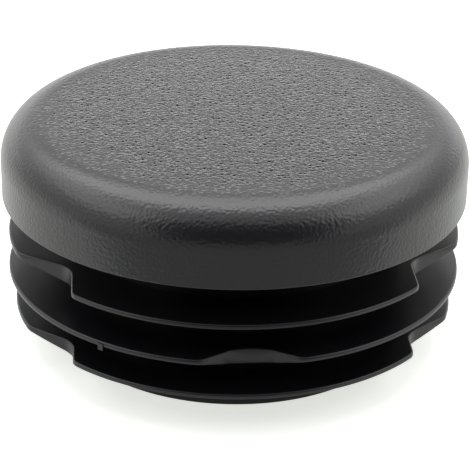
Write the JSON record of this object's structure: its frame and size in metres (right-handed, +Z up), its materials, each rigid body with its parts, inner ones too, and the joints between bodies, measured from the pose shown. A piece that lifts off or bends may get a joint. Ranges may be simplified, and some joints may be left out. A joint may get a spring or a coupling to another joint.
{
  "type": "tube end cap",
  "caption": "Round push-in end cap for a round tube: rounded head over a hollow stem with flexible barbed fins that grip the bore.",
  "frame": {"origin": "centre of the stem's open end, on which the cap stands", "axes": "+Z up along the cap's axis from the open end to the head; the middle fin's two scallops face -Y and +Y, and the walls of the corner steps run along Y"},
  "size_m": [0.05, 0.05, 0.025],
  "materials": {
    "black_polyethylene": "finely grained matt head, smoother satin stem and fins"
  },
  "bodies": {
    "root": {"end_cap": "black_polyethylene"}
  },
  "joints": []
}
